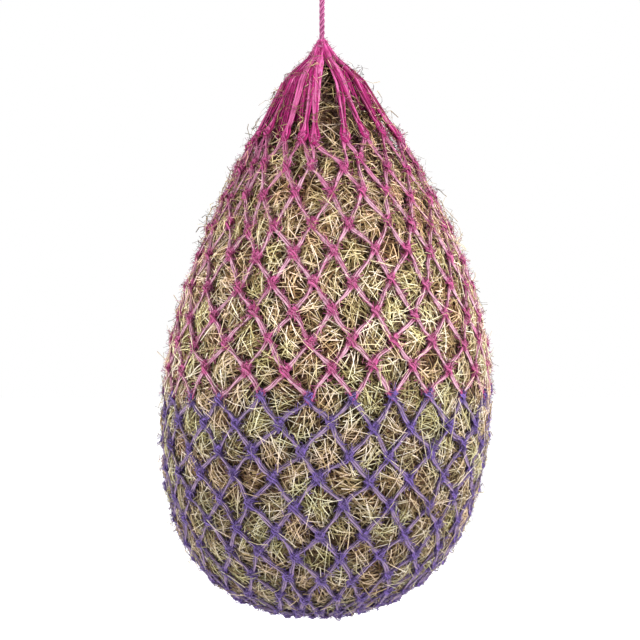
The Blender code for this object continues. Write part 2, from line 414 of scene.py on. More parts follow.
def rampNode(tree, factor, stops):
    ramp = addNode(tree, "ShaderNodeValToRGB", {0: factor})
    band = ramp.color_ramp
    while len(band.elements) < len(stops):
        band.elements.new(0.5)
    for element, (place, colour) in zip(band.elements, stops):
        element.position = place
        element.color = (*colour, 1.0)
    return ramp.outputs[0]


def fadeNode(tree, factor, dark, pale):  # a grey ramp, black up to one place and white from another
    return rampNode(tree, factor, [(dark, (0, 0, 0)), (pale, (1, 1, 1))])


def placeOnObject(tree):
    return addNode(tree, "ShaderNodeTexCoord").outputs["Object"]


def heightOf(tree, place):
    return addNode(tree, "ShaderNodeSeparateXYZ", {0: place}).outputs["Z"]


def attributeOf(tree, name):
    return addNode(tree, "ShaderNodeAttribute", attribute_name=name)


def noiseAt(tree, vector, scale, detail=2.0, stretch=(1, 1, 1)):
    mapping = addNode(tree, "ShaderNodeMapping", {"Scale": stretch, "Vector": vector})
    return addNode(tree, "ShaderNodeTexNoise", {"Scale": scale, "Detail": detail,
                                                "Vector": mapping.outputs[0]}).outputs["Fac"]


def mixColour(tree, factor, a, b, kind="MIX"):
    a, b = (value if isinstance(value, bpy.types.NodeSocket) else (*value, 1.0) for value in (a, b))
    return addNode(tree, "ShaderNodeMix", {0: factor, 6: a, 7: b}, data_type="RGBA",
                   blend_type=kind).outputs[2]


def addBump(tree, shader, height, strength, distance):
    bump = addNode(tree, "ShaderNodeBump", {"Strength": strength, "Distance": distance,
                                            "Height": height})
    link(tree, bump.outputs[0], shader.inputs["Normal"])


def makeFilamentGroup():  # fine parallel filaments, fresh in the knots and paler between, the paleness partly wear and partly painted highlight; painted shade in the deep shade colour fills the gaps between the filaments and one side of each ply
    tree, given, out = newTree("filaments", "ShaderNodeTree", {
        "Deep": (0.2, 0.02, 0.08, 1), "Fresh": (0.6, 0.1, 0.3, 1), "Bleached": (0.8, 0.4, 0.5, 1),
        "Bleach": 0.5, "Kept Above": 0.0, "Filaments": 16.0, "Groove": 0.5},
        {"Colour": "Color", "Height": "Float", "Roughness": "Float"})
    way = attributeOf(tree, "strandWay").outputs["Vector"]
    parts = addNode(tree, "ShaderNodeSeparateXYZ", {0: way}).outputs
    spread = addNode(tree, "ShaderNodeCombineXYZ", {
        "X": mathNode(tree, "MULTIPLY", parts["X"], 55.0),
        "Y": mathNode(tree, "MULTIPLY", parts["Y"], given["Filaments"])})
    fibre = noiseAt(tree, spread.outputs[0], 1.0, 3.0)
    place = placeOnObject(tree)
    patch = noiseAt(tree, place, 45.0)
    # painted shade: the gaps between the filaments take the dark deep shade colour
    base = mixColour(tree, fadeNode(tree, fibre, 0.34, 0.60), given["Deep"], given["Fresh"])
    # partly wear and partly painted highlight: the bars, and a little of the knots, turn towards
    # the pale colour, less of it above Kept Above
    paleWearAndHighlight = mathNode(tree, "MULTIPLY_ADD", parts["Z"], -0.9, 1.0)
    paleWearAndHighlight = mathNode(tree, "MULTIPLY", paleWearAndHighlight, given["Bleach"])
    lower = mathNode(tree, "SUBTRACT", given["Kept Above"], heightOf(tree, place))
    lower = mathNode(tree, "MULTIPLY_ADD", lower, 5.0, 0.35)
    limit = addNode(tree, "ShaderNodeClamp", {"Min": 0.25, "Value": lower})
    paleWearAndHighlight = mathNode(tree, "MULTIPLY", paleWearAndHighlight, limit.outputs[0])
    uneven = mathNode(tree, "MULTIPLY_ADD", patch, 2.2, -0.35)
    uneven = mathNode(tree, "MULTIPLY", uneven, mathNode(tree, "ADD", fibre, 0.5))
    paleWearAndHighlight = mathNode(tree, "MULTIPLY", paleWearAndHighlight, uneven)
    fade = addNode(tree, "ShaderNodeClamp", {0: paleWearAndHighlight})
    colour = mixColour(tree, fade.outputs[0], base, given["Bleached"])
    # painted shade: one side of each ply's profile, where the plies meet in a groove, is darkened
    # towards the deep shade colour
    facing = mathNode(tree, "COSINE", mathNode(tree, "MULTIPLY", parts["Y"], math.tau))
    facing = mathNode(tree, "ADD", facing, mathNode(tree, "MULTIPLY", fibre, 0.3))
    grooveShadeMask = rampNode(tree, facing, [(0.05, (1, 1, 1)), (0.75, (0, 0, 0))])
    grooveShadeAmount = mathNode(tree, "MULTIPLY", grooveShadeMask, given["Groove"])
    link(tree, mixColour(tree, grooveShadeAmount, colour, given["Deep"]), out["Colour"])
    link(tree, fibre, out["Height"])
    link(tree, mathNode(tree, "MULTIPLY_ADD", fibre, -0.3, 0.75), out["Roughness"])
    return tree


def makeStrandMaterial(name, group, look):
    material, tree, shader = newMaterial(name)
    fibres = addNode(tree, "ShaderNodeGroup", node_tree=group)
    for title in ("Deep", "Fresh", "Bleached"):
        fibres.inputs[title].default_value = (*look[title.lower()], 1)
    for title in ("Bleach", "Filaments", "Groove"):
        fibres.inputs[title].default_value = look[title.lower()]
    fibres.inputs["Kept Above"].default_value = gatherZ - look["keptDepth"]
    link(tree, fibres.outputs["Colour"], shader.inputs["Base Color"])
    link(tree, fibres.outputs["Roughness"], shader.inputs["Roughness"])
    addBump(tree, shader, fibres.outputs["Height"], look["bump"], 0.0006)
    shader.inputs["Sheen Weight"].default_value = look["sheen"]
    shader.inputs["Sheen Roughness"].default_value = 0.4
    shader.inputs["Specular IOR Level"].default_value = 0.25
    return material


strandLooks = {
    "pinkTwine": {"deep": (0.075, 0.001, 0.018), "fresh": (0.46, 0.052, 0.22),
                  "bleached": (0.45, 0.25, 0.32), "bleach": 2.1, "keptDepth": 0.20,
                  "filaments": 9.0, "groove": 0.85, "bump": 0.7, "sheen": 0.03},
    "mouthTwine": {"deep": (0.17, 0.001, 0.048), "fresh": (0.54, 0.038, 0.25),
                   "bleached": (0.70, 0.24, 0.45), "bleach": 0.9, "keptDepth": 0.0,
                   "filaments": 7.0, "groove": 0.6, "bump": 0.9, "sheen": 0.02},
    # painted shade: a darker copy of the mouth twine, for plies and curtain strands that lie in
    # shade behind the others
    "shadedTwine": {"deep": (0.11, 0.001, 0.026), "fresh": (0.31, 0.003, 0.12),
                   "bleached": (0.40, 0.03, 0.18), "bleach": 0.6, "keptDepth": 0.0,
                   "filaments": 8.0, "groove": 0.8, "bump": 0.9, "sheen": 0.02},
    "purpleTwine": {"deep": (0.014, 0.006, 0.030), "fresh": (0.13, 0.070, 0.32),
                    "bleached": (0.225, 0.155, 0.245), "bleach": 1.7, "keptDepth": 0.0,
                    "filaments": 9.0, "groove": 0.85, "bump": 0.7, "sheen": 0.03},
    "pinkRope": {"deep": (0.15, 0.018, 0.075), "fresh": (0.37, 0.080, 0.215),
                 "bleached": (0.55, 0.30, 0.41), "bleach": 0.9, "keptDepth": 0.0,
                 "filaments": 9.0, "groove": 0.95, "bump": 0.5, "sheen": 0.08},
}
filaments = makeFilamentGroup()
strandMaterials = {name: makeStrandMaterial(name, filaments, look)
                   for name, look in strandLooks.items()}

strawLook = {
    "tones": [(0.0, (0.07, 0.024, 0.012)), (0.2, (0.18, 0.095, 0.040)), (0.4, (0.32, 0.255, 0.11)),
              (0.6, (0.58, 0.49, 0.27)), (0.8, (0.83, 0.72, 0.50)), (1.0, (0.94, 0.87, 0.74))],
    # a tint by height down the bag: the hay's own tint near the top, and from the middle down
    # painted shade that darkens it towards the bottom
    "zones": [(0.10, (1.0, 0.85, 0.75)), (0.25, (0.97, 0.84, 0.80)), (0.39, (0.97, 0.88, 0.86)),
              (0.53, (1.0, 0.95, 0.95)), (0.60, (0.79, 0.76, 0.76)), (0.70, (0.71, 0.68, 0.68)),
              (0.82, (0.64, 0.61, 0.60)), (0.95, (0.56, 0.53, 0.51))],
    "mottleScale": 150.0,
    "mottleTone": 0.15,
    "patchScale": 17.0,
    "patchTone": 0.30,
    "hueShift": (3.0, 1.0, 2.0),
    "brown": (1.0, 0.87, 0.78),
    "green": (0.93, 1.0, 0.78),
    "pinkStain": (0.030, 0.004, 0.009),  # painted shadow and dye on the stems beside the twine
    "purpleStain": (0.010, 0.006, 0.011),
}


def makeStrawToneGroup():  # the colours of dry stems, from brown and olive to pale straw
    tree, given, out = newTree("strawTone", "ShaderNodeTree", {"Tone": 0.5}, {"Colour": "Color"})
    look = strawLook
    place = placeOnObject(tree)
    mottle = noiseAt(tree, place, look["mottleScale"])
    shift = mathNode(tree, "MULTIPLY_ADD", mottle, look["mottleTone"] * 2, -look["mottleTone"])
    patch = noiseAt(tree, place, look["patchScale"], 1.0)
    dimmer = mathNode(tree, "MULTIPLY_ADD", patch, look["patchTone"] * 2, -look["patchTone"])
    tone = mathNode(tree, "ADD", given["Tone"], mathNode(tree, "ADD", shift, dimmer))
    moved = addNode(tree, "ShaderNodeVectorMath", {0: place, 1: look["hueShift"]}, operation="ADD")
    hue = noiseAt(tree, moved.outputs[0], look["patchScale"], 1.0)
    turned = rampNode(tree, hue, [(0.36, look["green"]), (0.5, (1, 1, 1)), (0.64, look["brown"])])
    colour = mixColour(tree, 1.0, rampNode(tree, tone, look["tones"]), turned, "MULTIPLY")
    # painted shade: the tint by height darkens the lower hay
    down = mathNode(tree, "SUBTRACT", gatherZ, heightOf(tree, place))
    down = mathNode(tree, "DIVIDE", down, shape["bagDepth"])
    colour = mixColour(tree, 1.0, colour, rampNode(tree, down, look["zones"]), "MULTIPLY")
    link(tree, colour, out["Colour"])
    return tree


strawTone = makeStrawToneGroup()


def strawColour(tree, tone):
    straw = addNode(tree, "ShaderNodeGroup", {"Tone": tone}, node_tree=strawTone)
    return straw.outputs["Colour"]


def makeStemMaterial():
    material, tree, shader = newMaterial("hayStems")
    straw = strawColour(tree, attributeOf(tree, "tone").outputs["Fac"])
    sunk = attributeOf(tree, "open").outputs["Fac"]
    place = placeOnObject(tree)
    uneven = mathNode(tree, "MULTIPLY_ADD", noiseAt(tree, place, 48.0), 1.1, -0.52)
    # painted shade: stems darken where the hay lies low by the twine, towards dark plum in the pink
    # netting and dark violet in the purple, partly dye
    shade = rampNode(tree, mathNode(tree, "ADD", sunk, uneven),
                     [(0.0, (0, 0, 0)), (0.18, (0.35, 0.35, 0.35)), (0.40, (1, 1, 1))])
    below = mathNode(tree, "LESS_THAN", heightOf(tree, place), gatherZ - shape["widestDepth"])
    shadeAndDye = mixColour(tree, below, strawLook["pinkStain"], strawLook["purpleStain"])
    link(tree, mixColour(tree, shade, shadeAndDye, straw), shader.inputs["Base Color"])
    shader.inputs["Roughness"].default_value = 0.55
    shader.inputs["Specular IOR Level"].default_value = 0.4
    return material


def makeCoreMaterial():  # packed hay behind the loose stems, painted dark as shade: crossed streaks, dimmed, with near-black painted shade between them
    material, tree, shader = newMaterial("packedHayShaded")
    place = placeOnObject(tree)
    streaks = None
    for turn in ((0.3, 0.5, 0.2), (0.9, -0.6, 1.4), (-0.7, 1.1, 2.4)):
        mapping = addNode(tree, "ShaderNodeMapping", {"Rotation": turn, "Vector": place})
        streak = noiseAt(tree, mapping.outputs[0], 30.0, stretch=(1, 9, 9))
        streaks = streak if streaks is None else mathNode(tree, "MAXIMUM", streaks, streak)
    # painted shade: the streaks are dimmed and the gaps between them near black
    shadedStraw = mixColour(tree, 1.0, strawColour(tree, streaks), (0.30, 0.22, 0.17), "MULTIPLY")
    colour = mixColour(tree, fadeNode(tree, streaks, 0.50, 0.74), (0.016, 0.008, 0.004), shadedStraw)
    link(tree, colour, shader.inputs["Base Color"])
    addBump(tree, shader, streaks, 1.0, 0.004)
    shader.inputs["Roughness"].default_value = 0.9
    return material


def makeSteelMaterial():
    material, tree, shader = newMaterial("galvanisedSteel")
    place = placeOnObject(tree)
    spangle = noiseAt(tree, place, 260.0, 3.0)
    grime = noiseAt(tree, place, 70.0, 4.0)
    zinc = rampNode(tree, spangle, [(0.35, (0.36, 0.37, 0.38)), (0.65, (0.62, 0.63, 0.64))])
    colour = mixColour(tree, fadeNode(tree, grime, 0.56, 0.70), zinc, (0.20, 0.17, 0.14))
    link(tree, colour, shader.inputs["Base Color"])
    link(tree, mathNode(tree, "MULTIPLY_ADD", grime, 0.5, 0.18), shader.inputs["Roughness"])
    shader.inputs["Metallic"].default_value = 1.0
    addBump(tree, shader, spangle, 0.25, 0.0005)
    return material


stemMaterial = makeStemMaterial()
coreMaterial = makeCoreMaterial()
steelMaterial = makeSteelMaterial()
print("materials ready")

# strands: twine and rope are swept by one tree along paths that carry their own outward direction


def namedAttribute(tree, name, kind="FLOAT"):
    return addNode(tree, "GeometryNodeInputNamedAttribute", {"Name": name},
                   data_type=kind).outputs[0]


def paintSmooth(tree, geometry, material):
    smooth = addNode(tree, "GeometryNodeSetShadeSmooth", {"Geometry": geometry})
    real = addNode(tree, "GeometryNodeRealizeInstances", {"Geometry": smooth.outputs[0]})
    return addNode(tree, "GeometryNodeSetMaterial", {"Geometry": real.outputs[0],
                                                     "Material": material}).outputs[0]


def makeStrandTree():
    tree, given, out = newTree("sweepStrand", "GeometryNodeTree", {
        "Width": 0.005, "Thickness": 0.003, "Sides": 8, "Caps": False, "Material": None},
        {"Geometry": "Geometry"})
    toCurve = addNode(tree, "GeometryNodeMeshToCurve", {0: given["Geometry"]})
    normal = addNode(tree, "GeometryNodeSetCurveNormal", {
        "Curve": toCurve.outputs[0],
        "Normal": namedAttribute(tree, "outward", "FLOAT_VECTOR")}, mode="FREE")
    size = addNode(tree, "ShaderNodeCombineXYZ", {"X": given["Thickness"], "Y": given["Width"],
                                                  "Z": 1.0})
    circle = addNode(tree, "GeometryNodeCurvePrimitiveCircle", {"Radius": 0.5,
                                                                "Resolution": given["Sides"]})
    flatten = addNode(tree, "GeometryNodeTransform", {"Geometry": circle.outputs[0],
                                                      "Scale": size.outputs[0]})
    kept = []
    for curve, title, part in ((normal, "Along", "Length"), (flatten, "Around", "Factor")):
        capture = addNode(tree, "GeometryNodeCaptureAttribute", domain="POINT")
        capture.capture_items.new("FLOAT", title)
        link(tree, curve.outputs[0], capture.inputs[0])
        link(tree, addNode(tree, "GeometryNodeSplineParameter").outputs[part], capture.inputs[1])
        kept.append(capture.outputs)
    along, around = kept
    sweep = addNode(tree, "GeometryNodeCurveToMesh", {
        "Curve": along[0], "Profile Curve": around[0], "Scale": namedAttribute(tree, "swell"),
        "Fill Caps": given["Caps"]})
    way = addNode(tree, "ShaderNodeCombineXYZ", {"X": along[1], "Y": around[1],
                                                 "Z": namedAttribute(tree, "knotted")})
    store = addNode(tree, "GeometryNodeStoreNamedAttribute", {
        "Name": "strandWay", "Geometry": sweep.outputs[0], "Value": way.outputs[0]},
        data_type="FLOAT_VECTOR", domain="CORNER")
    link(tree, paintSmooth(tree, store.outputs[0], given["Material"]), out[0])
    return tree


strandTree = makeStrandTree()


def makePath(runs, closed):  # runs are (points, outward directions, swells, how knotted)
    points, outwards, swells, knotted = joinRun(runs)
    edges = []
    first = 0
    for run in runs:
        last = first + len(run[0]) - 1
        edges += [(k, k + 1) for k in range(first, last)]
        if closed:
            edges.append((last, first))
        first = last + 1
    data = bpy.data.meshes.new("path")
    data.from_pydata([tuple(point) for point in points], edges, [])
    for title, values in (("outward", outwards), ("swell", swells), ("knotted", knotted)):
        keepValues(data, title, values)
    return addObject("path", data)


def joinRun(pieces):
    return tuple([value for piece in pieces for value in piece[part]] for part in range(4))


def sweepStrand(name, runs, look, material, closed=True):
    path = makePath(runs, closed)
    made = grow(path, strandTree, {"Width": look["width"], "Thickness": look["thickness"],
                                   "Sides": look["sides"], "Caps": not closed,
                                   "Material": material}, name)
    dropSource(path)
    return made


def triangles(made):
    return sum(len(face.vertices) - 2 for face in made.data.polygons)


def joinParts(parts, name):
    bpy.context.view_layer.update()
    with bpy.context.temp_override(active_object=parts[0], selected_editable_objects=parts):
        bpy.ops.object.join()
    parts[0].name = name
    parts[0].data.name = name
    return parts[0]


# the netting: each course is one run of twine, tied into the bights of the course above

twine = {
    "width": 0.0043,          # of one of its two plies
    "thickness": 0.0030,
    "sides": 6,
    "plies": 2,
    "plySpread": 0.0016,      # of each ply from the twine's middle, within the net's surface
    "plyRise": 0.0008,
    "plyTurn": 0.11,          # one turn of a ply round the other
    "lift": 0.0016,           # of the netting off its middle surface
    "barSteps": 5,
    "barWander": 0.0019,
    "fallingSwell": 1.08,     # bars that run down to the right
    "risingSwell": 0.90,
    "knotSize": 1.18,
    "knotWidth": 0.78,
    "knotSwell": 0.30,        # how much thicker the twine is where a knot doubles it
    "knotSpread": 0.12,       # how much the knots differ in size
    "knotTurn": 0.14,         # how far a knot is turned on the net
    "tightWidth": 0.55,       # width of a knot at the mouth, where the load pulls it narrow
    "slackReach": 2.2,        # knots reach their whole width at 1 / 2.2 of the way down
    "baseSize": 0.6,          # of the last bights' twine, crowded on the base ring
    "wanderSeed": 5,
}
# one sheet bend, in millimetres round, up and out, from the left bar to the right bar
knotWeave = [(-5.0, -5.8, 0.0), (-2.2, -2.2, -0.4), (-0.2, 1.2, 0.4), (1.0, 4.0, 2.6),
             (3.6, 5.6, 2.4), (5.0, 4.2, -0.8), (1.6, 3.0, -2.6), (-3.8, 3.8, -1.8),
             (-4.8, 2.2, 1.6), (-1.4, 0.2, 3.6), (2.2, -2.2, 2.4), (5.0, -5.8, 0.2)]
# one bight, which the knot below is tied round, and one passed round the base ring's wire
bightWeave = [(-5.2, 6.2, 0.4), (-2.6, 3.2, 0.8), (-1.6, 0.4, 1.0), (0.0, -1.8, 0.6),
              (1.6, 0.4, 1.0), (2.6, 3.2, 0.8), (5.2, 6.2, 0.4)]
baseWeave = [(-3.0, 9.0, 1.5), (-2.2, 3.0, 4.2), (-1.0, -2.6, 3.6), (0.2, -4.4, 0.0),
             (1.2, -2.6, -3.4), (2.2, 3.0, -3.4), (3.0, 9.0, -0.6)]


def crowding(arc):
    pitch = math.tau * float(radiusAt(arc)) / netting["meshes"]
    return min(pitch / netting["crowdedPitch"], 1.0)


def knotManners():  # each knot's size and turn
    manner = random.Random(twine["wanderSeed"] + 1)
    spread, turn = twine["knotSpread"], twine["knotTurn"]
    return [[(1 + manner.uniform(-spread, spread), manner.uniform(-turn, turn)) for _ in level]
            for level in places]


manners = knotManners()


def weaveAt(level, mesh, weave):
    mesh %= netting["meshes"]
    place = places[level][mesh]
    size, turn = manners[level][mesh]
    size *= twine["knotSize"] * crowding(place[0])
    origin, around, up, outward = frameOnNet(*place)
    slack = min(place[0] / levelArcs[-1] * twine["slackReach"], 1.0)
    tight = twine["tightWidth"]
    around = around * twine["knotWidth"] * (tight + (1 - tight) * slack)
    origin = origin + outward * twine["lift"]
    across = around * math.cos(turn) + up * math.sin(turn)
    along = up * math.cos(turn) - around * math.sin(turn)
    points = [origin + (across * x + along * y + outward * z) * size * 0.001 for x, y, z in weave]
    last = len(points) - 1
    swells = [size ** 0.5 * (1 + twine["knotSwell"] * math.sin(math.pi * index / last))
              for index in range(last + 1)]
    return points, [outward] * (last + 1), swells, [1.0] * (last + 1)


def barBetween(start, finish, startOut, finishOut, wander, size):
    points = []
    directions = []
    swells = []
    across = (finish - start).cross(startOut + finishOut).normalized()
    bow = wander.uniform(-1, 1) * twine["barWander"]
    sway = wander.uniform(-1, 1) * twine["barWander"] * 0.5
    for step in range(1, twine["barSteps"] + 1):
        share = step / (twine["barSteps"] + 1)
        aside = bow * math.sin(math.pi * share) + sway * math.sin(math.tau * share)
        points.append(start.lerp(finish, share) + across * aside)
        directions.append(startOut.lerp(finishOut, share).normalized())
        swells.append(size * wander.uniform(0.9, 1.1))
    return points, directions, swells, [0.0] * len(points)


def courseRun(level, wander):
    meshes = netting["meshes"]
    size = crowding(levelArcs[level])
    knots = [weaveAt(level, mesh, knotWeave) for mesh in range(meshes)]
    if level + 1 < len(places):
        bights = [weaveAt(level + 1, mesh + level % 2, bightWeave) for mesh in range(meshes)]
    else:
        bights = baseBights(level)
    pieces = []
    for mesh in range(meshes):
        knot, bight, following = knots[mesh], bights[mesh], knots[(mesh + 1) % meshes]
        falling = size * twine["fallingSwell"] * wander.uniform(0.92, 1.08)
        rising = size * twine["risingSwell"] * wander.uniform(0.92, 1.08)
        pieces += [knot,
                   barBetween(knot[0][-1], bight[0][0], knot[1][0], bight[1][0], wander, falling),
                   bight,
                   barBetween(bight[0][-1], following[0][0], bight[1][0], following[1][0],
                              wander, rising)]
    return joinRun(pieces)


def plied(run, look):  # plies that lie side by side and slowly change places
    points, outs, swells, tight = run
    count = len(points)
    lengths = [0.0]
    for before, after in zip(points, points[1:]):
        lengths.append(lengths[-1] + (after - before).length)
    whole = lengths[-1] + (points[0] - points[-1]).length
    turns = round(whole / look["plyTurn"])
    runs = []
    for ply in range(look["plies"]):
        moved = []
        for index, (point, out) in enumerate(zip(points, outs)):
            along = points[(index + 1) % count] - points[index - 1]
            across = along.cross(out).normalized()
            turn = math.tau * (turns * lengths[index] / whole + ply / look["plies"])
            width = look["plySpread"] * swells[index]
            moved.append(point + across * width * math.cos(turn)
                         + out * look["plyRise"] * math.sin(turn))
        runs.append((moved, outs, swells, tight))
    return runs


def baseBights(level):  # the last bights, passed round the base ring's wire
    low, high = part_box("base_ring")
    centre = (low + high) / 2
    radius = (high.x - low.x) / 2 - (high.z - low.z) / 2
    outward = Vector((0, 0, -1))
    sizes = [twine["baseSize"]] * len(baseWeave)
    found = []
    for mesh in range(netting["meshes"]):
        angle = math.tau * (mesh + level % 2 / 2 + 0.5) / netting["meshes"]
        up, around = wayOut(angle), wayRound(angle)
        points = [centre + up * radius + (around * x + up * y + outward * z) * 0.001
                  for x, y, z in baseWeave]
        found.append((points, [outward] * len(points), sizes, sizes))
    return found


def buildNetting():
    wander = random.Random(twine["wanderSeed"])
    made = []
    for level in range(len(places)):
        isPink = level < netting["pinkCourses"]
        number = level + 1 if isPink else level + 1 - netting["pinkCourses"]
        colour = "pink" if isPink else "purple"
        course = sweepStrand(f"{colour}Course{number:02d}", plied(courseRun(level, wander), twine),
                             twine, strandMaterials[f"{colour}Twine"])
        settle(course, "bag", f"{colour}_course_{number:02d}")
        made.append(course)
    print("netting knotted,", sum(triangles(course) for course in made), "triangles")
    return made


# the mouth loops, which run up from the first knots, round the noose and in to the rope

mouth = {
    "width": 0.0054,
    "thickness": 0.0036,
    "sides": 6,
    "plies": 3,
    "plySpread": 0.0027,
    "plyRise": 0.0016,
    "plyTurn": 0.42,
    "profile": [(0.0, 0.0045), (0.011, 0.0095), (0.021, 0.0165), (0.031, 0.0240),
                (0.042, 0.0370)],
    "profileEnd": 0.058,      # below here the mouth follows the net
    "layers": 0.0060,
    # angles at which the strands run in to the rope
    "bundles": [-2.75, -2.3, -1.85, -1.38, -0.92, -0.58, -0.27, 0.42, 0.82, 1.25, 1.7, 2.2, 2.7,
                3.2],
    "bundleSpread": 0.11,
    # each curtain is (from, to, how many strands, longest), its angles like the bundles'
    "curtains": [(-1.75, -0.24, 42, 0.175), (0.46, 1.7, 20, 0.135), (1.7, 4.5, 34, 0.150)],
    "shortestCurtain": 0.095,
    "curtainSink": (0.004, 0.009),
    "curtainSpread": (0.02, 0.06),
    "curtainSize": (0.9, 1.4),
    "curtainShares": (0.04, 0.14, 0.28, 0.45, 0.62, 0.8, 0.94, 1.0),
    "strandSize": (0.8, 1.25),
    "strandShares": (0.12, 0.26, 0.4, 0.54, 0.68, 0.8, 0.9, 0.96, 1.0),  # of the way up
    "strandSwells": (0.62, 0.7, 0.85, 1.0, 1.15, 1.3, 1.25, 0.95, 0.75),
    "easeIn": 0.03,           # above this depth the strands come out to the surface
    "seed": 23,
}


def tentRadius(depth):
    netDepths = outline[:, 0][outline[:, 0] >= mouth["profileEnd"]]
    netRadii = outline[:, 1][outline[:, 0] >= mouth["profileEnd"]]
    depths = np.concatenate([[place[0] for place in mouth["profile"]], netDepths])
    radii = np.concatenate([[place[1] for place in mouth["profile"]], netRadii])
    return float(np.interp(depth, depths, radii))


def onTent(depth, angle, sunk):  # a place under the mouth's surface, and the way out of it
    heading = wayOut(angle)
    sunk = sunk * min(depth / mouth["easeIn"], 1.0)
    place = heading * (tentRadius(depth) - sunk) + Vector((0, 0, gatherZ - depth))
    return place + Vector((float(lean(depth)), 0, 0)), (heading + Vector((0, 0, 0.6))).normalized()


def apart(angle, other):
    return (angle - other + math.pi) % math.tau - math.pi


def bundled(angle):  # the bundle that a strand at this angle is drawn into
    nearest = min(mouth["bundles"], key=lambda bundle: abs(apart(angle, bundle)))
    return angle - apart(angle, nearest)


def risingStrand(start, angle, middle, side, wander):
    quarter = math.tau / netting["meshes"] / 4
    spread = mouth["bundleSpread"]
    final = bundled(middle + side * quarter) + wander.uniform(-spread, spread)
    sunk = wander.uniform(0.0, mouth["layers"])
    deepest = gatherZ - start.z
    points, directions = [], []
    for share in mouth["strandShares"]:
        turn = angle + (final - angle) * min(share * 1.3, 1.0)
        point, out = onTent(deepest * (1 - share), turn, sunk * min(share * 4, 1.0))
        points.append(point)
        directions.append(out)
    count = len(points)
    size = wander.uniform(*mouth["strandSize"])
    return points, directions, [size * swell for swell in mouth["strandSwells"]], [0.35] * count


def curtainStrand(low, high, longest, wander):  # slack netting folded in behind the others
    angle = wander.uniform(low, high)
    reach = wander.uniform(mouth["shortestCurtain"], longest)
    sink = wander.uniform(*mouth["curtainSink"])
    spread = wander.uniform(*mouth["curtainSpread"])
    size = wander.uniform(*mouth["curtainSize"])
    shares = mouth["curtainShares"]
    points, directions, swells = [], [], []
    for side in (-1, 1):
        for share in shares if side < 0 else shares[::-1]:
            wide = spread * min(1.0, 2.5 * share) * math.sqrt(max(1.04 - share ** 6, 0.0))
            fold = sink * (1 + 3 * max(share - 0.7, 0))
            point, out = onTent(reach * share, angle + side * wide, fold)
            points.append(point)
            directions.append(out)
            swells.append(size * (1 - 0.6 * share ** 3))
    return points, directions, swells, [0.4] * len(points)


def buildMouthLoops():
    wander = random.Random(mouth["seed"])
    meshes = netting["meshes"]
    pieces = []
    bights = [weaveAt(0, mesh, bightWeave) for mesh in range(meshes)]
    for mesh in range(meshes):
        bight, following = bights[mesh], bights[(mesh + 1) % meshes]
        angle = places[0][mesh][1]
        nextAngle = places[0][(mesh + 1) % meshes][1]
        if mesh == meshes - 1:
            nextAngle += math.tau
        middle = (angle + nextAngle) / 2
        up = risingStrand(bight[0][-1], angle, middle, -1, wander)
        down = risingStrand(following[0][0], nextAngle, middle, 1, wander)
        pieces += [bight, up, tuple(part[::-1] for part in down)]
    runs = plied(joinRun(pieces), mouth)
    drawn = sweepStrand("mouthLoops", runs[1:], mouth, strandMaterials["mouthTwine"])
    # painted shade: the first ply of every mouth strand and all the curtain strands take the darker
    # shaded twine
    slack = runs[:1]
    for low, high, strands, longest in mouth["curtains"]:
        for _ in range(strands):
            slack += plied(curtainStrand(low, high, longest, wander), mouth)
    curtain = sweepStrand("curtain", slack, mouth, strandMaterials["shadedTwine"])
    loops = joinParts([drawn, curtain], "mouthLoops")
    settle(loops, "bag", "mouth_loops")
    print("mouth loops drawn together,", triangles(loops), "triangles")
    return loops


# three-strand laid rope

rope = {
    "diameter": 0.008,
    "slackSwell": 1.14,       # of the lay where nothing pulls it tight
    "pitch": 0.030,
    "strands": 3,
    "stepsPerTurn": 14,
    "sides": 10,
    "strandSpread": 1.08,     # width of a strand pressed against the other two
}
layStep = rope["pitch"] / rope["stepsPerTurn"]


def strandOffset():  # how far a strand's middle lies from the rope's
    return rope["diameter"] / 2 / (1 + math.sin(math.pi / rope["strands"]))


def layRope(route, closed=False, swell=1.0, pitch=rope["pitch"]):  # the strands round a route
    route = [Vector(point) for point in route]
    count = len(route)
    offset = strandOffset() * swell
    frames = []
    normal = None
    length = 0.0
    for index in range(count):
        after = route[(index + 1) % count] if closed or index < count - 1 else route[index]
        before = route[index - 1] if closed or index > 0 else route[index]
        tangent = (after - before).normalized()
        if normal is None:
            normal = tangent.orthogonal()
        normal = (normal - tangent * normal.dot(tangent)).normalized()
        length += (route[index] - route[max(index - 1, 0)]).length
        frames.append((route[index], tangent, normal.copy(), length))
    runs = []
    for strand in range(rope["strands"]):
        points, directions = [], []
        for place, tangent, normal, length in frames:
            turn = math.tau * (length / pitch + strand / rope["strands"])
            way = normal * math.cos(turn) + tangent.cross(normal) * math.sin(turn)
            points.append(place + way * offset)
            directions.append(way)
        runs.append((points, directions, [swell] * count, [0.5] * count))
    return runs


def ropePiece(name, node, body, route, closed=False, **lay):
    across = rope["diameter"] - 2 * strandOffset()
    look = {"width": across * rope["strandSpread"], "thickness": across, "sides": rope["sides"]}
    made = sweepStrand(name, layRope(route, closed, **lay), look, strandMaterials["pinkRope"],
                       closed)
    settle(made, body, node)
    return made


def smoothRoute(stations, step):
    stations = [Vector(station) for station in stations]
    ends = [stations[0] * 2 - stations[1]] + stations + [stations[-1] * 2 - stations[-2]]
    points = []
    for a, b, c, d in zip(ends, ends[1:], ends[2:], ends[3:]):
        steps = max(int((c - b).length / step), 1)
        for k in range(steps):
            t = k / steps
            points.append(0.5 * (2 * b + (c - a) * t + (2 * a - 5 * b + 4 * c - d) * t * t
                                 + (3 * b - a - 3 * c + d) * t ** 3))
    return points + [stations[-1]]


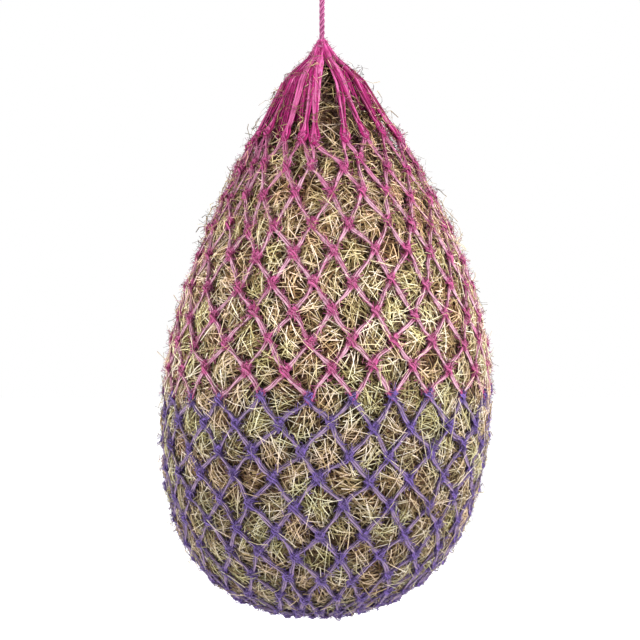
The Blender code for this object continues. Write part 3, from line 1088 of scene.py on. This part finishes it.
def buildRope():
    low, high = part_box("draw_rope")
    top = Vector((0, 0, high.z))
    end = Vector((0, 0, low.z))
    length = (top - end).length
    steps = int(length / rope["pitch"] * rope["stepsPerTurn"])
    route = [end.lerp(top, k / steps) for k in range(steps + 1)]
    line = ropePiece("drawRope", "draw_rope", "rope", route, swell=rope["slackSwell"])
    return line, route, length


ropeEye = {
    "halfGap": 0.0046,        # between the legs where they leave the knot
    "straight": (0.0, 0.25),  # shares of the legs' height that run straight up
    "opening": (0.55, 0.8, 1.0),
    "crownSteps": 6,
}


def buildEye():
    low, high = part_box("rope_eye")
    wireLow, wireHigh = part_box("hanging_ring")
    bend = (high.y - low.y) / 2 - rope["diameter"] / 2
    bendZ = wireLow.z + (wireHigh.y - wireLow.y) / 2
    legs = ropeEye["halfGap"]
    leg = [(0, legs, low.z + (bendZ - low.z) * share) for share in ropeEye["straight"]]
    leg += [(0, legs + (bend - legs) * share ** 2, low.z + (bendZ - bend - low.z) * share)
            for share in ropeEye["opening"]]
    turns = [math.pi * k / ropeEye["crownSteps"] for k in range(ropeEye["crownSteps"] + 1)]
    crown = [(0, bend * math.cos(turn), bendZ + bend * math.sin(turn)) for turn in turns]
    stations = leg + crown + [(0, -y, z) for _, y, z in reversed(leg)]
    return ropePiece("ropeEye", "rope_eye", "eye", smoothRoute(stations, layStep))


knot = {
    "turns": 3,
    "stepsPerTurn": 10,
    "firstEnd": (0.3, -0.2, -0.001),  # round the knot in its radii, and up in metres
    "lastEnd": (-0.5, 0.3, 0.002),
}


def buildEyeKnot():
    low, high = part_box("eye_knot")
    radius = (high.x - low.x) / 2 - rope["diameter"] / 2
    bottom = low.z + rope["diameter"] / 2
    top = high.z - rope["diameter"] / 2
    stations = []
    steps = knot["turns"] * knot["stepsPerTurn"]
    for k in range(steps + 1):
        share = k / steps
        turn = math.tau * knot["turns"] * share
        stations.append((radius * math.sin(turn), -radius * math.cos(turn),
                         bottom + (top - bottom) * share))
    for height, (x, y, z), index in ((bottom, knot["firstEnd"], 0), (top, knot["lastEnd"],
                                                                     len(stations) + 1)):
        stations.insert(index, (radius * x, radius * y, height + z))
    return ropePiece("eyeKnot", "eye_knot", "eye", smoothRoute(stations, layStep))


noose = {
    "steps": 36,
}


def buildNoose():
    low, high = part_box("rope_noose")
    centre = (low + high) / 2
    radius = (high.x - low.x) / 2 - rope["diameter"] / 2
    turns = [math.tau * k / noose["steps"] for k in range(noose["steps"])]
    route = [centre + Vector((radius * math.cos(t), radius * math.sin(t), 0)) for t in turns]
    whole = math.tau * radius
    ropePiece("ropeNoose", "rope_noose", "bag", route, closed=True,
              pitch=whole / round(whole / rope["pitch"]))


# the steel rings, bent from wire with a weld where the ends meet

ring = {
    "segments": 72,
    "sides": 16,
    "weldSwell": 0.16,
    "weldSpread": 0.10,
}


def buildRing(name, node, body, across, up, weldAngle):
    low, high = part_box(node)
    centre = (low + high) / 2
    size = high - low
    wire = min(size)
    radius = max(size) / 2 - wire / 2
    points, directions, swells = [], [], []
    for k in range(ring["segments"]):
        turn = math.tau * k / ring["segments"]
        way = across * math.cos(turn) + up * math.sin(turn)
        gap = (turn - weldAngle + math.pi) % math.tau - math.pi
        points.append(centre + way * radius)
        directions.append(way)
        swells.append(1 + ring["weldSwell"] * math.exp(-(gap / ring["weldSpread"]) ** 2))
    look = {"width": wire, "thickness": wire, "sides": ring["sides"]}
    run = (points, directions, swells, [0.0] * len(points))
    made = sweepStrand(name, [run], look, steelMaterial)
    settle(made, body, node)
    return made


# the cord and the pieces on it come first

drawRope, ropeRoute, ropeLength = buildRope()
eye = buildEye()
eyeKnot = buildEyeKnot()
hangingRing = buildRing("hangingRing", "hanging_ring", "ring", Vector((1, 0, 0)),
                        Vector((0, 0, 1)), 2.4)
print("rope, eye, knot and ring ready")
buildNoose()
baseRing = buildRing("baseRing", "base_ring", "bag", Vector((1, 0, 0)), Vector((0, 1, 0)), 0.8)
mouthLoops = buildMouthLoops()
courses = buildNetting()

# the hay: a packed core painted dark as shade, bulging through the meshes, under layers of loose
# stems

core = {
    "rows": 150,
    "columns": 240,
    "topDepth": 0.042,
    "baseRadius": 0.012,
    "inset": 0.0062,          # of the loose hay's middle under the twine
    "topInset": 0.016,        # the same, near the mouth
    "topReach": 0.42,         # how far down the net it is drawn in like that
    "baseInset": 0.012,
    "baseFrom": 0.80,         # share of the way down from which the base's inset grows
    "sink": 0.0034,           # how far the twine presses the hay in
    "rise": 0.0085,           # how far the hay bulges in a full mesh
    "under": 0.0060,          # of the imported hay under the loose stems
    "lumps": 0.0016,
    "lumpSeed": 4,
    "mouthField": 0.5,        # how far the hay comes up between the mouth's strands, and how light the painted shade on its stems is there
    "mouthEase": 0.03,        # way below the first knots over which the meshes take over
    "pillow": 0.65,           # a lower power makes a flatter pillow in each mesh, with a narrower band of painted shade by the twine
    "slimness": 0.5,          # a higher power lets less hay through where the net is narrow, and paints darker shade on its stems there
}


def meshField(arc, angle):  # 0 under the twine, 1 in the middle of a full mesh; it shapes the hay and sets the painted shade on its stems
    levels = np.array(levelArcs)
    down, aside = unevenness(arc, angle)
    arc = arc - down
    steps = np.interp(arc, levels, np.arange(len(levels)))
    turns = (angle - aside) * netting["meshes"] / math.tau
    slant = np.abs(np.sin(math.pi * (turns - steps / 2)) * np.sin(math.pi * (turns + steps / 2)))
    full = (radiusAt(arc) / shape["widestRadius"]) ** core["slimness"]
    between = np.abs(np.sin(math.pi * turns))
    below = np.clip((arc - levels[0]) / core["mouthEase"], 0, 1)
    return (core["mouthField"] * between * (1 - below) + slant ** core["pillow"] * below) * full


def hayShell(name, isPacked):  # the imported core, or the smooth sheet that stems are strewn on
    first = arcAtDepth(core["topDepth"])
    last = arcAtLastRadius(core["baseRadius"])
    rows, columns = core["rows"], core["columns"]
    arc = np.repeat(np.linspace(first, last, rows), columns)
    angle = np.tile(np.arange(columns) * math.tau / columns, rows)
    bulge = meshField(arc, angle)
    mouthward = np.clip(1 - (arc - first) / core["topReach"], 0, 1)
    baseward = np.clip((arc / arcs[-1] - core["baseFrom"]) / (1 - core["baseFrom"]), 0, 1)
    lift = (-core["inset"] - (core["topInset"] - core["inset"]) * mouthward
            - (core["baseInset"] - core["inset"]) * baseward)
    if isPacked:
        lift = lift - core["under"] - core["sink"] + (core["rise"] + core["sink"]) * bulge
        lift = lift + np.random.default_rng(core["lumpSeed"]).normal(size=arc.size) * core["lumps"]
    points = onNet(arc, angle, lift)
    out, up = outwardAt(arc)
    outward = np.stack([out * np.sin(angle), -out * np.cos(angle), up], -1)
    faces = []
    for row in range(rows - 1):
        for column in range(columns):
            after = (column + 1) % columns
            faces.append((row * columns + column, (row + 1) * columns + column,
                          (row + 1) * columns + after, row * columns + after))
    top = points[:columns].mean(axis=0)
    base = points[-columns:].mean(axis=0)
    points = np.vstack([points, top, base])
    outward = np.vstack([outward, (0, 0, 1), (0, 0, -1)])
    topIndex, baseIndex = rows * columns, rows * columns + 1
    lastRow = (rows - 1) * columns
    for column in range(columns):
        after = (column + 1) % columns
        faces.append((column, after, topIndex))
        faces.append((lastRow + after, lastRow + column, baseIndex))
    data = bpy.data.meshes.new(name)
    data.from_pydata(points.tolist(), [], faces)
    keepValues(data, "bulge", np.append(bulge, [0, 0]))
    keepValues(data, "outward", outward)
    data.shade_smooth()
    return addObject(name, data)


def buildCore():
    made = hayShell("hayCore", True)
    made.data.materials.append(coreMaterial)
    settle(made, "bag", "hay_fill")
    return made


def chance(tree, low, high, seed):
    return addNode(tree, "FunctionNodeRandomValue", {"Seed": seed, 2: low, 3: high},
                   data_type="FLOAT").outputs[1]


def scaled(tree, vector, scale):
    return addNode(tree, "ShaderNodeVectorMath", {0: vector, "Scale": scale},
                   operation="SCALE").outputs[0]


def nearest(tree, geometry, value, kind):  # a value of the sheet where a stem lies nearest to it
    return addNode(tree, "GeometryNodeSampleNearestSurface", {"Mesh": geometry, "Value": value},
                   data_type=kind).outputs[0]


def storeOn(tree, geometry, name, value, domain):
    return addNode(tree, "GeometryNodeStoreNamedAttribute", {
        "Name": name, "Geometry": geometry, "Value": value}, data_type="FLOAT",
        domain=domain).outputs[0]


def makeStemTree():
    tree, given, out = newTree("strewStems", "GeometryNodeTree", {
        "Density": 10000.0, "Seed": 1, "Top": 1.0, "Bottom": -1.0, "On Bulge": 0.0,
        "Shortest": 0.03, "Longest": 0.08, "Thinnest": 0.0008, "Thickest": 0.002,
        "Lowest": -0.002, "Highest": 0.004, "Tilt": 0.15, "Sink": 0.0, "Rise": 0.0,
        "Swirl Scale": 14.0, "Scatter": 0.7, "Bend": 0.004, "Bend Scale": 22.0, "Segments": 4,
        "Darkest": 0.0, "Palest": 1.0, "Material": None}, {"Geometry": "Geometry"})
    sheet = given["Geometry"]

    place = addNode(tree, "GeometryNodeInputPosition")
    height = heightOf(tree, place.outputs[0])
    under = addNode(tree, "FunctionNodeCompare", {0: height, 1: given["Top"]},
                    operation="LESS_THAN")
    over = addNode(tree, "FunctionNodeCompare", {0: height, 1: given["Bottom"]},
                   operation="GREATER_EQUAL")
    inBand = mathNode(tree, "AND", under.outputs[0], over.outputs[0],
                      kind="FunctionNodeBooleanMath")
    bulge = namedAttribute(tree, "bulge")
    outward = namedAttribute(tree, "outward", "FLOAT_VECTOR")
    density = mathNode(tree, "MULTIPLY", mathNode(tree, "POWER", bulge, given["On Bulge"]),
                       given["Density"])
    scatter = addNode(tree, "GeometryNodeDistributePointsOnFaces", {
        "Mesh": sheet, "Selection": inBand, "Density": density, "Seed": given["Seed"]})
    lift = scaled(tree, scatter.outputs["Normal"],
                  chance(tree, given["Lowest"], given["Highest"], 3))
    raised = addNode(tree, "GeometryNodeSetPosition", {"Geometry": scatter.outputs["Points"],
                                                       "Offset": lift})

    swirl = addNode(tree, "ShaderNodeTexNoise", {"Detail": 1.0, "Scale": given["Swirl Scale"]},
                    noise_dimensions="3D")
    spin = mathNode(tree, "MULTIPLY", swirl.outputs["Fac"], 14.0)
    spin = mathNode(tree, "ADD", spin, mathNode(tree, "MULTIPLY", given["Scatter"],
                                                chance(tree, -1.0, 1.0, 6)))
    turn = addNode(tree, "ShaderNodeCombineXYZ", {
        "Y": mathNode(tree, "MULTIPLY", given["Tilt"], chance(tree, -1.0, 1.0, 5)), "Z": spin})
    asRotation = addNode(tree, "FunctionNodeEulerToRotation", {0: turn.outputs[0]})
    rotation = addNode(tree, "FunctionNodeRotateRotation", {
        0: scatter.outputs["Rotation"], 1: asRotation.outputs[0]}, rotation_space="LOCAL")

    line = addNode(tree, "GeometryNodeCurvePrimitiveLine", {"Start": (-0.5, 0, 0),
                                                            "End": (0.5, 0, 0)})
    fine = addNode(tree, "GeometryNodeResampleCurve", {"Curve": line.outputs[0],
                                                       "Count": given["Segments"]})
    section = addNode(tree, "GeometryNodeCurvePrimitiveCircle", {"Resolution": 3, "Radius": 0.5})
    stem = addNode(tree, "GeometryNodeCurveToMesh", {
        "Fill Caps": True, "Curve": fine.outputs[0], "Profile Curve": section.outputs[0]})
    width = chance(tree, given["Thinnest"], given["Thickest"], 8)
    size = addNode(tree, "ShaderNodeCombineXYZ", {
        "X": chance(tree, given["Shortest"], given["Longest"], 7), "Y": width, "Z": width})
    strew = addNode(tree, "GeometryNodeInstanceOnPoints", {
        "Points": raised.outputs[0], "Instance": stem.outputs[0],
        "Rotation": rotation.outputs[0], "Scale": size.outputs[0]})
    toned = storeOn(tree, strew.outputs[0], "tone",
                    chance(tree, given["Darkest"], given["Palest"], 9), "INSTANCE")
    real = addNode(tree, "GeometryNodeRealizeInstances", {"Geometry": toned})
    # how open the mesh is here, which sets the painted shade in the stems' material
    openness = nearest(tree, sheet, bulge, "FLOAT")
    away = nearest(tree, sheet, outward, "FLOAT_VECTOR")
    opened = storeOn(tree, real.outputs[0], "open", openness, "POINT")

    drift = addNode(tree, "ShaderNodeTexNoise", {"Detail": 1.0, "Scale": given["Bend Scale"]},
                    noise_dimensions="3D")
    centred = addNode(tree, "ShaderNodeVectorMath", {0: drift.outputs["Color"], 1: (0.5, 0.5, 0.5)},
                      operation="SUBTRACT")
    travel = mathNode(tree, "ADD", given["Rise"], given["Sink"])
    travel = mathNode(tree, "SUBTRACT", mathNode(tree, "MULTIPLY", travel, openness),
                      given["Sink"])
    both = addNode(tree, "ShaderNodeVectorMath", {
        0: scaled(tree, centred.outputs[0], given["Bend"]), 1: scaled(tree, away, travel)},
        operation="ADD")
    bent = addNode(tree, "GeometryNodeSetPosition", {"Geometry": opened,
                                                     "Offset": both.outputs[0]})
    link(tree, paintSmooth(tree, bent.outputs[0], given["Material"]), out[0])
    return tree


stemTree = makeStemTree()

stemLayers = {
    # painted shade: the bed's stems lie deep and get only dark tones, the tufts above get the pale
    # ones
    "bed": {"Density": 10000.0, "Shortest": 0.030, "Longest": 0.065,
            "Thinnest": 0.0009, "Thickest": 0.0019, "Lowest": -0.005, "Highest": 0.0,
            "Tilt": 0.08, "Sink": core["sink"], "Rise": core["rise"], "Scatter": 1.1,
            "Bend": 0.008, "Darkest": 0.0, "Palest": 0.48, "Seed": 10},
    "tuft": {"Density": 20000.0, "On Bulge": 0.5, "Shortest": 0.022, "Longest": 0.056,
             "Thinnest": 0.0007, "Thickest": 0.0017, "Lowest": -0.001, "Highest": 0.0050,
             "Tilt": 0.14, "Sink": core["sink"], "Rise": core["rise"], "Scatter": 0.9,
             "Bend": 0.009, "Darkest": 0.18, "Palest": 1.12, "Seed": 40},
    "stray": {"Density": 1300.0, "Shortest": 0.030, "Longest": 0.072,
              "Thinnest": 0.0007, "Thickest": 0.0013, "Lowest": 0.006, "Highest": 0.011,
              "Tilt": 0.30, "Rise": 0.003, "Scatter": 3.2, "Bend": 0.012,
              "Darkest": 0.55, "Palest": 1.2, "Seed": 70},
    "wisp": {"Density": 3000.0, "Shortest": 0.014, "Longest": 0.036,
             "Thinnest": 0.0004, "Thickest": 0.0009, "Lowest": 0.006, "Highest": 0.012,
             "Tilt": 0.9, "Rise": 0.003, "Scatter": 3.2, "Bend": 0.026,
             "Bend Scale": 40.0, "Darkest": 0.0, "Palest": 0.7, "Seed": 90},
}
mouthLayers = {               # only in the topmost band
    "curl": {"Density": 5000.0, "Shortest": 0.016, "Longest": 0.045,
             "Thinnest": 0.0004, "Thickest": 0.0009, "Lowest": 0.008, "Highest": 0.022,
             "Tilt": 0.6, "Rise": 0.002, "Scatter": 3.2, "Bend": 0.030,
             "Bend Scale": 45.0, "Darkest": 0.1, "Palest": 0.8, "Seed": 120, "Segments": 5,
             "Top": gatherZ - 0.050},
}
hayBands = {
    "edges": [-0.52, -0.66, -0.79, -0.92, -1.03],  # heights between one band and the next
    "margin": 0.05,           # beyond the hay's own top and bottom
}


def buildStems():
    sheet = hayShell("haySheet", False)
    low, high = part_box("hay_fill")
    edges = [high.z + hayBands["margin"], *hayBands["edges"], low.z - hayBands["margin"]]
    for band, (top, bottom) in enumerate(zip(edges, edges[1:])):
        layers = stemLayers if band else dict(stemLayers, **mouthLayers)
        parts = []
        for name, layer in layers.items():
            values = {"Top": top, "Bottom": bottom, "Material": stemMaterial, **layer}
            values["Seed"] += band
            parts.append(grow(sheet, stemTree, values, f"{name}{band}"))
        whole = joinParts(parts, f"looseHay{band + 1}")
        settle(whole, "bag")
        print("loose hay", band + 1, triangles(whole), "triangles")
    dropSource(sheet)


buildCore()
buildStems()

# the twine's own fluff, frayed off it all over, in four pieces to keep each one small

fluffLayer = {
    "Density": 13000.0, "Shortest": 0.007, "Longest": 0.024, "Thinnest": 0.0004,
    "Thickest": 0.0008, "Lowest": 0.0, "Highest": 0.0012, "Tilt": 0.55, "Scatter": 3.2,
    "Bend": 0.010, "Bend Scale": 45.0, "Segments": 3, "Darkest": 0.0, "Palest": 1.0,
    "Seed": 100, "Top": 1.0, "Bottom": -2.0,
}
fluffShares = {"mouth": 0.12, "pink": 1.5, "purple": 1.5}  # of the fluff layer's density


def makeFluffMaterial(colour):
    material, tree, shader = newMaterial(f"{colour}Fluff")
    look = strandLooks[f"{colour}Twine"]
    tone = attributeOf(tree, "tone").outputs["Fac"]
    # partly painted shade: the fluff runs from the twine's dark deep shade colour, through fresh,
    # to the pale colour
    shades = [(0.0, look["deep"]), (0.45, look["fresh"]), (1.0, look["bleached"])]
    link(tree, rampNode(tree, tone, shades), shader.inputs["Base Color"])
    shader.inputs["Roughness"].default_value = 0.6
    return material


def buildFluff(name, colour, sources):
    values = dict(fluffLayer, Material=fluffMaterials[colour])
    parts = []
    for source in sources:
        share = fluffShares["mouth" if source == mouthLoops else colour]
        values["Density"] = fluffLayer["Density"] * share
        parts.append(grow(source, stemTree, values, f"{name}{source.name}"))
        values["Seed"] += 1
    whole = joinParts(parts, name)
    settle(whole, "bag")
    print(name, triangles(whole), "triangles")


fluffMaterials = {colour: makeFluffMaterial(colour) for colour in ("pink", "purple")}
pinks, purples = courses[:netting["pinkCourses"]], courses[netting["pinkCourses"]:]
buildFluff("pinkFluffUpper", "pink", [mouthLoops] + pinks[:5])
buildFluff("pinkFluffLower", "pink", pinks[5:])
buildFluff("purpleFluffUpper", "purple", purples[:4])
buildFluff("purpleFluffLower", "purple", purples[4:])
